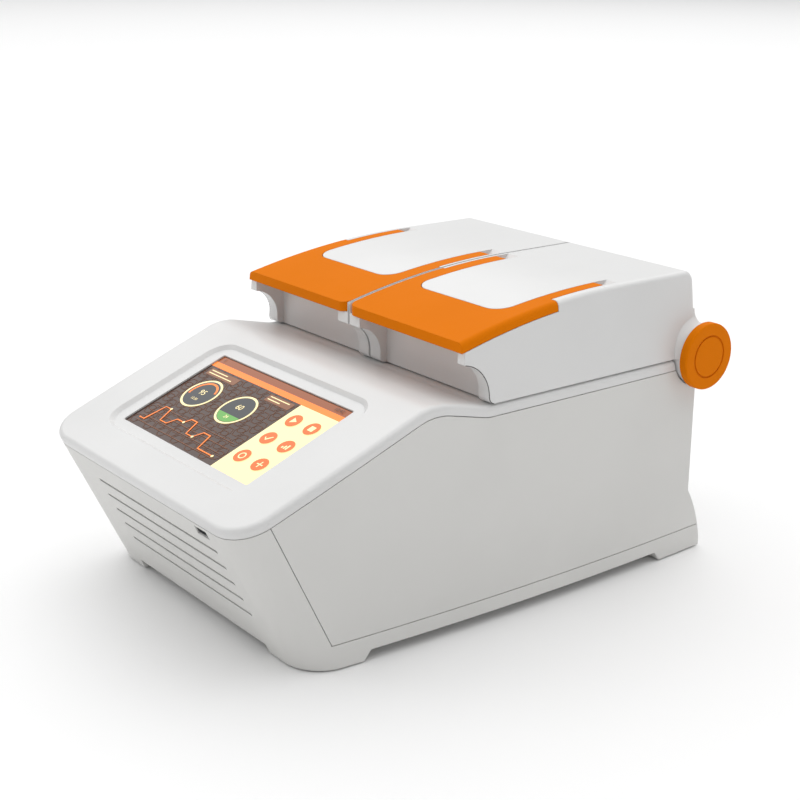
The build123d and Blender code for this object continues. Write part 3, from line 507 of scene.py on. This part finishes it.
class MeshKit:
    """Ways of making meshes."""

    @staticmethod
    def link(name: str, mesh: bpy.types.Mesh) -> bpy.types.Object:
        """Puts a mesh into the scene as an object at the origin."""
        made = bpy.data.objects.new(name, mesh)
        bpy.context.scene.collection.objects.link(made)
        return made

    @staticmethod
    def plates(name: str, shapes: Sequence[Shape], low: float, high: float) -> bpy.types.Object:
        """Flat plates with straight walls.

        Args:
            name: The piece's name.
            shapes: Outline in x, y and outlines of holes of each plate.
            low: Height of their undersides.
            high: Height of their tops.

        Returns:
            The object.
        """
        joined = bmesh.new()
        for outline, holes in shapes:
            shape = bmesh.new()
            edges: list[bmesh.types.BMEdge] = []
            for loop in (outline, *holes):
                verts = [shape.verts.new((x, y, low)) for x, y in loop]
                edges += [shape.edges.new((a, b)) for a, b in zip(verts, verts[1:] + verts[:1])]
            filled = bmesh.ops.triangle_fill(shape, edges=edges, use_beauty=True)
            faces = [g for g in filled["geom"] if isinstance(g, bmesh.types.BMFace)]
            grown = bmesh.ops.extrude_face_region(shape, geom=faces)
            tops = [g for g in grown["geom"] if isinstance(g, bmesh.types.BMVert)]
            bmesh.ops.translate(shape, verts=tops, vec=(0.0, 0.0, high - low))
            bmesh.ops.recalc_face_normals(shape, faces=shape.faces)
            mesh = bpy.data.meshes.new(name)
            shape.to_mesh(mesh)
            shape.free()
            joined.from_mesh(mesh)
            bpy.data.meshes.remove(mesh)
        mesh = bpy.data.meshes.new(name)
        joined.to_mesh(mesh)
        joined.free()
        return MeshKit.link(name, mesh)

    @staticmethod
    def tube(name: str, path: Sequence[Vector], radius: float, sides: int) -> bpy.types.Object:
        """A closed round bar along a path.

        Args:
            name: The piece's name.
            path: Its middle line.
            radius: Its radius.
            sides: Number of faces round it.

        Returns:
            The object.
        """
        shape = bmesh.new()
        rings = []
        for k, here in enumerate(path):
            along = (path[min(k + 1, len(path) - 1)] - path[max(k - 1, 0)]).normalized()
            across = along.cross(Vector((1.0, 0.0, 0.0))).normalized()
            other = along.cross(across)
            turns = [2 * math.pi * j / sides for j in range(sides)]
            spokes = [math.cos(t) * across + math.sin(t) * other for t in turns]
            rings.append([shape.verts.new(here + radius * spoke) for spoke in spokes])
        for first, second in zip(rings, rings[1:]):
            for j in range(sides):
                shape.faces.new((first[j], first[(j + 1) % sides], second[(j + 1) % sides], second[j]))
        shape.faces.new(rings[0][::-1])
        shape.faces.new(rings[-1])
        bmesh.ops.recalc_face_normals(shape, faces=shape.faces)
        mesh = bpy.data.meshes.new(name)
        shape.to_mesh(mesh)
        shape.free()
        mesh.shade_smooth()
        return MeshKit.link(name, mesh)

    @staticmethod
    def clip(piece: bpy.types.Object, low: Point, high: Point) -> None:
        """Cuts a piece off outside a rectangle in x, y and closes the cuts.

        Args:
            piece: The object.
            low: Lowest x and y that stay.
            high: Highest x and y that stay.
        """
        shape = bmesh.new()
        shape.from_mesh(piece.data)
        for corner, normal in ((low, (-1, 0, 0)), (low, (0, -1, 0)), (high, (1, 0, 0)), (high, (0, 1, 0))):
            cut = bmesh.ops.bisect_plane(shape, geom=shape.verts[:] + shape.edges[:] + shape.faces[:],
                                         plane_co=(*corner, 0.0), plane_no=normal, clear_outer=True)
            rim = [g for g in cut["geom_cut"] if isinstance(g, bmesh.types.BMEdge)]
            bmesh.ops.edgenet_fill(shape, edges=rim)
        bmesh.ops.recalc_face_normals(shape, faces=shape.faces)
        shape.to_mesh(piece.data)
        shape.free()


class Pieces:
    """Dresses finished pieces and hangs the scene's own on their bodies."""

    @staticmethod
    def dress(node: str, finish: Finish) -> None:
        """Gives a CAD node its finish.

        Args:
            node: The node's name.
            finish: The finish.
        """
        piece = frame["nodes"][node]
        piece.data.materials.clear()
        piece.data.materials.append(finish.material())
        log.info("%s: %s", node, finish.name)

    @staticmethod
    def add(piece: bpy.types.Object, finish: Finish, slot: Slot, body: str) -> None:
        """Dresses a piece of the scene's own and hangs it on its body.

        Args:
            piece: The object.
            finish: The finish.
            slot: Not used.
            body: The CAD body that carries it.
        """
        piece.data.materials.clear()
        piece.data.materials.append(finish.material())
        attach(piece, body)
        log.info("%s: %s, on %s", piece.name, finish.name, body)


@dataclass
class BareNodes:
    """Dresses every CAD node with the finish of its material slot."""

    shown: list[str] = field(default_factory=list)

    def build(self) -> None:
        """Dresses the nodes."""
        for part in frame["record"]["subparts"]:
            Pieces.dress(part["node"], DRESS[Slot(part["material_slot"])])
            self.shown.append(part["node"])


def arc_points(u: float, v: float, radius: float, start: float = 0.0, end: float = 360.0,
               steps: int = 48) -> list[Point]:
    """Points along an arc.

    Args:
        u: Middle, to the right.
        v: Middle, upwards.
        radius: Radius.
        start: First angle in degrees.
        end: Last angle in degrees.
        steps: Number of chords of a full turn.

    Returns:
        The points; a full circle doesn't repeat its first.
    """
    count = max(2, round(steps * abs(end - start) / 360.0))
    full = abs(end - start) >= 360.0
    turns = [math.radians(start + (end - start) * k / count) for k in range(count if full else count + 1)]
    return [(u + radius * math.cos(t), v + radius * math.sin(t)) for t in turns]


def bar(u0: float, v0: float, u1: float, v1: float) -> list[Point]:
    """Corners of a rectangle."""
    return [(u0, v0), (u1, v0), (u1, v1), (u0, v1)]


def round_bar(u0: float, v0: float, u1: float, v1: float, radius: float) -> list[Point]:
    """Corners of a rectangle with round corners."""
    points: list[Point] = []
    for u, v, start in ((u1 - radius, v0 + radius, -90), (u1 - radius, v1 - radius, 0),
                        (u0 + radius, v1 - radius, 90), (u0 + radius, v0 + radius, 180)):
        points += arc_points(u, v, radius, start, start + 90)
    return points


def stroke(points: Sequence[Point], width: float) -> list[Point]:
    """Outline of a line of even width through the points."""
    left: list[Point] = []
    right: list[Point] = []
    for k, (u, v) in enumerate(points):
        before = Vector(points[max(k - 1, 0)])
        after = Vector(points[min(k + 1, len(points) - 1)])
        along = (after - before).normalized()
        here = Vector((u, v))
        inner = (here - before).normalized() if k else along
        across = Vector((-along.y, along.x)) * (width / 2)
        across /= max(0.6, inner.dot(along))
        left.append(tuple(here + across))
        right.append(tuple(here - across))
    return right + left[::-1]


@dataclass
class Screen:
    """Touch screen: cover glass with lit artwork, drawn in millimetres on the sloping bezel."""

    width: float = 154.08
    height: float = 85.92
    bezel_y: float = -127.6025
    bezel_z: float = 134.4808
    tilt: float = 21.0
    glass_depth: float = 3.9
    tile: float = 0.03
    column: float = 34.0
    strip_low: float = 31.5
    strip_mid: float = 36.5
    level: int = 0

    field_brown: Lit = Lit("screen brown field", (0.040, 0.0125, 0.005), 1.0)
    motif_brown: Lit = Lit("screen brown motif", (0.115, 0.040, 0.014), 1.0)
    label_brown: Lit = Lit("screen label", (0.20, 0.062, 0.012), 1.0)
    header: Lit = Lit("screen header", (0.27, 0.060, 0.004), 1.0)
    strip: Lit = Lit("screen orange strip", (1.0, 0.22, 0.004), 1.0)
    cream: Lit = Lit("screen cream", (1.0, 0.84, 0.44), 1.0)
    button: Lit = Lit("screen orange button", (0.78, 0.135, 0.008), 1.0)
    dial: Lit = Lit("screen dark dial", (0.020, 0.022, 0.027), 1.0)
    green: Lit = Lit("screen green", (0.11, 0.36, 0.055), 1.0)

    def frame_matrix(self, lift: float) -> Matrix:
        """From the screen's millimetres to the frame, at a height over the glass."""
        slope = math.radians(self.tilt)
        turn = Matrix.Rotation(slope, 4, "X")
        depth = (lift - self.glass_depth) * MM
        return Matrix.Translation((0.0, self.bezel_y * MM, self.bezel_z * MM)) @ turn @ Matrix.Translation(
            (0.0, 0.0, depth)) @ Matrix.Scale(MM, 4)

    def lay(self, name: str, finish: Finish, shapes: Sequence[Shape]) -> None:
        """Lays a layer of tiles on the glass.

        Args:
            name: The piece's name.
            finish: Its finish.
            shapes: Outlines with their holes.
        """
        self.level += 1
        piece = MeshKit.plates(name, shapes, 0.0, self.tile)
        self.seat(piece, name, finish)

    def seat(self, piece: bpy.types.Object, name: str, finish: Finish) -> None:
        """Moves a flat piece from screen millimetres onto the glass, dresses it and hangs it on the base
        body.
        """
        piece.data.transform(self.frame_matrix(self.level * self.tile))
        piece.data.materials.clear()
        piece.data.materials.append(finish.material())
        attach(piece, "base")
        log.info("%s: %s", name, finish.name)

    def numbers(self, name: str, finish: Finish, words: Sequence[tuple[str, float, float, float]]) -> None:
        """Sets plain numbers.

        Args:
            name: The piece's name.
            finish: Its finish.
            words: Text, middle u and v, and height of each.
        """
        self.level += 1
        joined = bmesh.new()
        for text, u, v, size in words:
            curve = bpy.data.curves.new(name, "FONT")
            curve.body = text
            curve.size = size * 1.4
            curve.align_x = "CENTER"
            curve.align_y = "CENTER"
            curve.extrude = self.tile / 2
            curve.resolution_u = 4
            holder = MeshKit.link(name, curve)
            bpy.context.view_layer.update()
            drawn = holder.evaluated_get(bpy.context.evaluated_depsgraph_get())
            mesh = bpy.data.meshes.new_from_object(drawn)
            mesh.transform(Matrix.Translation((u, v, self.tile / 2)))
            joined.from_mesh(mesh)
            bpy.data.objects.remove(holder)
            bpy.data.curves.remove(curve)
        bmesh.ops.remove_doubles(joined, verts=joined.verts, dist=1e-5)
        mesh = bpy.data.meshes.new(name)
        joined.to_mesh(mesh)
        joined.free()
        self.seat(MeshKit.link(name, mesh), name, finish)

    def hexagons(self) -> None:
        """Tone-on-tone hexagons over the brown field, as a repeat."""
        self.level += 1
        row_rise, margin, middle = 0.866, 1.0, -6.0
        grid = Repeats("screen_hexagons", {"Pitch": 9.0, "Radius": 4.6, "Line": 0.28,
                                           "Columns": 12, "Rows": 9})
        rows, columns, pitch = grid.size("Rows"), grid.size("Columns"), grid.size("Pitch")
        points = grid.node("GeometryNodeMeshGrid", inputs={
            "Size X": (columns - 1) * pitch, "Size Y": (rows - 1) * pitch * row_rise,
            "Vertices X": columns, "Vertices Y": rows})
        index = grid.node("GeometryNodeInputIndex")
        odd = grid.node("ShaderNodeMath", {"operation": "MODULO"}, {0: index, 1: 2.0})
        shift = grid.node("ShaderNodeCombineXYZ", inputs={"X": 0.0, "Y": odd * pitch * (row_rise / 2)})
        moved = grid.node("GeometryNodeSetPosition", inputs={"Geometry": points, "Offset": shift})
        ring = grid.node("GeometryNodeMeshCircle", inputs={"Vertices": 6, "Radius": grid.size("Radius")})
        path = grid.node("GeometryNodeMeshToCurve", inputs={"Mesh": ring})
        section = grid.node("GeometryNodeCurvePrimitiveCircle",
                            inputs={"Resolution": 4, "Radius": grid.size("Line")})
        wire = grid.node("GeometryNodeCurveToMesh", inputs={"Curve": path, "Profile Curve": section})
        spread = grid.node("GeometryNodeInstanceOnPoints", inputs={"Points": moved, "Instance": wire})
        piece = grid.result(spread, self.motif_brown)
        for vertex in piece.data.vertices:
            vertex.co.z *= self.tile
        left, right = -self.width / 2 + margin, self.column - margin
        piece.data.transform(Matrix.Translation(((left + right) / 2, middle, self.tile)))
        MeshKit.clip(piece, (left, -self.height / 2 + margin), (right, self.strip_low - margin / 2))
        self.seat(piece, "screen_hexagons", self.motif_brown)

    def dials(self) -> None:
        """Two round gauges, each with a cream ring and a coloured level."""
        places = ((-50.0, 5.0), (-6.0, 5.0))
        radius, rim = 15.5, 1.7
        arc_outer, arc_inner, level_gap = 12.3, 10.6, 0.4
        self.lay("screen_dials", self.dial, [(arc_points(u, v, radius - rim), ()) for u, v in places])
        self.lay("screen_dial_rings", self.cream,
                 [(arc_points(u, v, radius), [arc_points(u, v, radius - rim)]) for u, v in places])
        u, v = places[0]
        orange_arc = arc_points(u, v, arc_outer, 200, 20) + arc_points(u, v, arc_inner, 20, 200)
        self.lay("screen_dial_arc", self.strip, [(orange_arc, ())])
        u, v = places[1]
        level = arc_points(u, v, radius - rim - level_gap, 205, 335)
        self.lay("screen_dial_level", self.green, [(level, ())])
        self.numbers("screen_dial_numbers", self.cream, [("95", *self.over(places[0], 1.0), 5.0),
                                                         ("60", *self.over(places[1], 3.0), 5.0),
                                                         ("12:30", *self.over(places[0], -6.5), 2.4),
                                                         ("24", *self.over(places[1], -8.6), 3.0)])

    @staticmethod
    def over(place: Point, rise: float) -> Point:
        """A place a little above or below another."""
        return place[0], place[1] + rise

    def profile(self) -> None:
        """Stepped temperature profile under the gauges, with its base line."""
        steps = [(-70, -35), (-64, -35), (-61, -18), (-54, -18), (-50, -30), (-42, -30),
                 (-38, -23), (-30, -23), (-27, -18), (-20, -18), (-16, -30), (-8, -30),
                 (-4, -23), (4, -23), (8, -36), (26, -36)]
        self.lay("screen_profile_base", self.label_brown,
                 [(bar(-71, v, 28, v + 0.35), ()) for v in (-38.0, -32.0, -26.0, -20.0)])
        self.lay("screen_profile_line", self.strip, [(stroke(steps, 0.9), ())])
        self.lay("screen_profile_marks", self.cream,
                 [(arc_points(u, v, 1.1, steps=20), ()) for u, v in steps[3::4]])

    def buttons(self) -> None:
        """Six round buttons in the pale column, with simple marks."""
        centres = [(u, v) for v in (17.0, -4.0, -25.0) for u in (45.5, 65.5)]
        self.lay("screen_buttons", self.button, [(arc_points(u, v, 6.2), ()) for u, v in centres])
        play, square, tick, bars, ring, cross = centres
        shapes: list[Shape] = [
            ([(play[0] - 1.9, play[1] - 2.8), (play[0] + 3.0, play[1]),
              (play[0] - 1.9, play[1] + 2.8)], ()),
            (round_bar(square[0] - 2.4, square[1] - 2.4, square[0] + 2.4, square[1] + 2.4, 0.5), ()),
            (stroke([(tick[0] - 2.8, tick[1]), (tick[0] - 0.8, tick[1] - 2.0),
                     (tick[0] + 2.9, tick[1] + 2.3)], 0.9), ()),
            (arc_points(*ring, 3.0), [arc_points(*ring, 2.1)])]
        shapes += [(bar(bars[0] - 2.8 + 2.1 * k, bars[1] - 2.4,
                        bars[0] - 1.4 + 2.1 * k, bars[1] - 0.6 + 1.4 * k), ()) for k in range(3)]
        shapes += [(bar(cross[0] - 2.9, cross[1] - 0.45, cross[0] + 2.9, cross[1] + 0.45), ()),
                   (bar(cross[0] - 0.45, cross[1] + 0.5, cross[0] + 0.45, cross[1] + 2.9), ()),
                   (bar(cross[0] - 0.45, cross[1] - 2.9, cross[0] + 0.45, cross[1] - 0.5), ())]
        self.lay("screen_button_marks", self.cream, shapes)

    def build(self) -> None:
        """Builds the artwork from the back to the front."""
        half_u, half_v = self.width / 2, self.height / 2
        self.lay("screen_field", self.field_brown, [(bar(-half_u, -half_v, self.column, self.strip_low), ())])
        self.lay("screen_column", self.cream, [(bar(self.column, -half_v, half_u, self.strip_low), ())])
        self.lay("screen_header", self.header, [(bar(-half_u, self.strip_mid, half_u, half_v), ())])
        self.lay("screen_strip", self.strip, [(bar(-half_u, self.strip_low, half_u, self.strip_mid), ())])
        self.hexagons()
        self.lay("screen_labels", self.label_brown, [(round_bar(-72, 22.5, -36, 29.5, 0.8), ()),
                                                     (round_bar(2, 22.5, 30, 29.5, 0.8), ())])
        self.lay("screen_label_lines", self.cream,
                 [(bar(-70, v, -70 + w, v + 0.8), ()) for v, w in ((27.2, 20.0), (24.4, 28.0))]
                 + [(bar(4, v, 4 + w, v + 0.8), ()) for v, w in ((27.2, 22.0), (24.4, 14.0))])
        self.dials()
        self.profile()
        self.buttons()
        self.numbers("screen_clock", self.field_brown, [("10:42", 66.0, 39.7, 3.2), ("1", -71.0, 39.7, 3.2)])


@dataclass
class LidTrim:
    """Fine work on one lid: painted shade along the seam between its side wall and the cover of its coved
    front, laid as a thin dark tube.
    """

    side: Side
    lid_side: float = 126.7
    lid_low: float = 151.3
    draft: float = 8.0
    cheek_y: float = -15.9025
    block_y: float = -33.9025
    cove_z: float = 158.3
    cove_r: float = 21.0
    toe: float = 4.0
    seam_r: float = 0.32

    def seam_path(self) -> list[Vector]:
        """Points down the outer edge of the cove, in metres."""
        middle = self.cheek_y - self.cove_r
        start = math.degrees(math.acos((self.block_y - middle) / self.cove_r))
        path = [(y, z) for y, z in arc_points(middle, self.cove_z, self.cove_r, start, 0.0, 96)]
        low_y, low_z = self.cheek_y + self.toe, self.lid_low + self.toe
        path += arc_points(low_y, low_z, self.toe, 180.0, 262.0, 48)
        lean = math.tan(math.radians(self.draft))
        points = []
        for y, z in path:
            x = self.lid_side - (z - self.lid_low) * lean - self.seam_r * 0.55
            points.append(Vector((self.side.value * x, y + self.seam_r * 0.55, z + self.seam_r * 0.3)) * MM)
        return points

    def build(self) -> None:
        """Lays the dark tube of painted seam shade."""
        name = f"lid_front_seam_{self.side.word}"
        # A thin dark tube that paints the shade of the seam groove.
        piece = MeshKit.tube(name, self.seam_path(), self.seam_r * MM, 6)
        Pieces.add(piece, SHADOW, Slot.LID, f"lid_{self.side.word}")


@dataclass
class WellRims:
    """Raised rims round the wells of both sample blocks."""

    pitch: float = 9.0
    columns: int = 6
    rows: int = 8
    radius: float = 3.1
    wire: float = 0.28
    block_y: float = 65.5975
    block_x: float = 63.85
    top: float = 146.5

    def build(self) -> None:
        """Sets one ring round every well."""
        tree = Repeats("well_rims", {"Pitch": self.pitch * MM, "Radius": self.radius * MM,
                                     "Wire": self.wire * MM, "Columns": self.columns,
                                     "Rows": self.rows})
        pitch, columns, rows = tree.size("Pitch"), tree.size("Columns"), tree.size("Rows")
        points = tree.node("GeometryNodeMeshGrid", inputs={
            "Size X": (columns - 1) * pitch, "Size Y": (rows - 1) * pitch,
            "Vertices X": columns, "Vertices Y": rows})
        circle = tree.node("GeometryNodeCurvePrimitiveCircle",
                           inputs={"Resolution": 20, "Radius": tree.size("Radius")})
        section = tree.node("GeometryNodeCurvePrimitiveCircle",
                            inputs={"Resolution": 6, "Radius": tree.size("Wire")})
        ring = tree.node("GeometryNodeCurveToMesh", inputs={"Curve": circle, "Profile Curve": section})
        spread = tree.node("GeometryNodeInstanceOnPoints", inputs={"Points": points, "Instance": ring})
        rims = tree.result(spread, ALUMINIUM)
        for side in Side:
            piece = MeshKit.link(f"well_rims_{side.word}", rims.data.copy())
            middle = Vector((side.value * self.block_x, self.block_y, self.top)) * MM
            piece.data.transform(Matrix.Translation(middle))
            Pieces.add(piece, ALUMINIUM, Slot.ALUMINIUM, "base")
        bpy.data.objects.remove(rims)


@dataclass
class Screws:
    """Screw heads at the corners of both fans, on the rear panel."""

    head_r: float = 2.9
    head_t: float = 0.7
    socket_r: float = 1.25
    rear_y: float = 179.5975
    fan_x: float = 63.85
    fan_z: float = 88.0
    fan_pitch: float = 71.5

    def head(self, name: str, places: Sequence[Vector], turn: tuple[float, float, float]) -> bpy.types.Object:
        """Sets a screw head with a hexagon socket at every place.

        Args:
            name: The piece's name.
            places: Middle of each head, in metres.
            turn: Turn of the heads, whose axis is Z.

        Returns:
            The object.
        """
        base = bpy.data.meshes.new(name)
        base.from_pydata([tuple(p) for p in places], [], [])
        tree = Repeats(name, {"Radius": self.head_r * MM, "Thickness": self.head_t * MM,
                              "Socket": self.socket_r * MM}, base)
        thick = tree.size("Thickness")
        disc = tree.node("GeometryNodeMeshCylinder", inputs={"Vertices": 24, "Radius": tree.size("Radius"),
                                                             "Depth": thick})
        hexagon = tree.node("GeometryNodeMeshCylinder", inputs={"Vertices": 6, "Radius": tree.size("Socket"),
                                                                "Depth": thick})
        up = tree.node("ShaderNodeCombineXYZ", inputs={"X": 0.0, "Y": 0.0, "Z": thick * 0.5})
        lifted = tree.node("GeometryNodeTransform", inputs={"Geometry": hexagon, "Translation": up})
        cut = tree.node("GeometryNodeMeshBoolean", {"operation": "DIFFERENCE"}, {0: disc, 1: lifted})
        spread = tree.node("GeometryNodeInstanceOnPoints", inputs={
            "Points": Value(tree, tree.source.outputs["Geometry"]), "Instance": cut, "Rotation": turn})
        return tree.result(spread, ZINC)

    def build(self) -> None:
        """Sets the rear screws."""
        half = self.fan_pitch / 2
        places = []
        for side in Side:
            for dx in (-half, half):
                for dz in (-half, half):
                    places.append(Vector((side.value * self.fan_x + dx, self.rear_y + self.head_t * 0.3,
                                          self.fan_z + dz)) * MM)
        piece = self.head("fan_screw_heads", places, (math.radians(-90.0), 0.0, 0.0))
        Pieces.add(piece, ZINC, Slot.ZINC, "base")


@dataclass
class SwitchMarks:
    """The bar and the ring on the power switch's rocker."""

    x: float = 22.0
    pivot_y: float = 191.0975
    z: float = 32.0
    ring_outer: float = 1.7
    ring_inner: float = 1.2
    bar_half: float = 0.3
    thick: float = 0.08

    def build(self) -> None:
        """Marks the two halves of the rocker."""
        low = Vector((0.0, 4.2, -8.0))
        waist = Vector((0.0, 3.0, 0.0))
        high = Vector((0.0, 5.6, 7.6))
        pivot = Vector((self.x, self.pivot_y, self.z))
        hole = arc_points(0, 0, self.ring_inner, steps=24)
        ring = (arc_points(0, 0, self.ring_outer, steps=24), [hole])
        line = (bar(-self.bar_half, -self.ring_outer, self.bar_half, self.ring_outer), ())
        marks = (("switch_ring", ring, low, waist), ("switch_bar", line, waist, high))
        for name, shape, below, above in marks:
            piece = MeshKit.plates(name, [shape], 0.0, self.thick)
            along = (above - below).normalized()
            across = Vector((-1.0, 0.0, 0.0))
            out = across.cross(along)
            turn = Matrix((across, along, out)).transposed().to_4x4()
            middle = pivot + (below + above) / 2
            piece.data.transform(Matrix.Scale(MM, 4) @ Matrix.Translation(middle) @ turn)
            Pieces.add(piece, COVER, Slot.BLACK, "rocker")


def main() -> None:
    """Builds the scene."""
    BareNodes().build()
    Screen().build()
    for side in Side:
        LidTrim(side).build()
    WellRims().build()
    Screws().build()
    SwitchMarks().build()
    Camera().build()
    Studio().build()


if __name__ == "__main__":
    main()
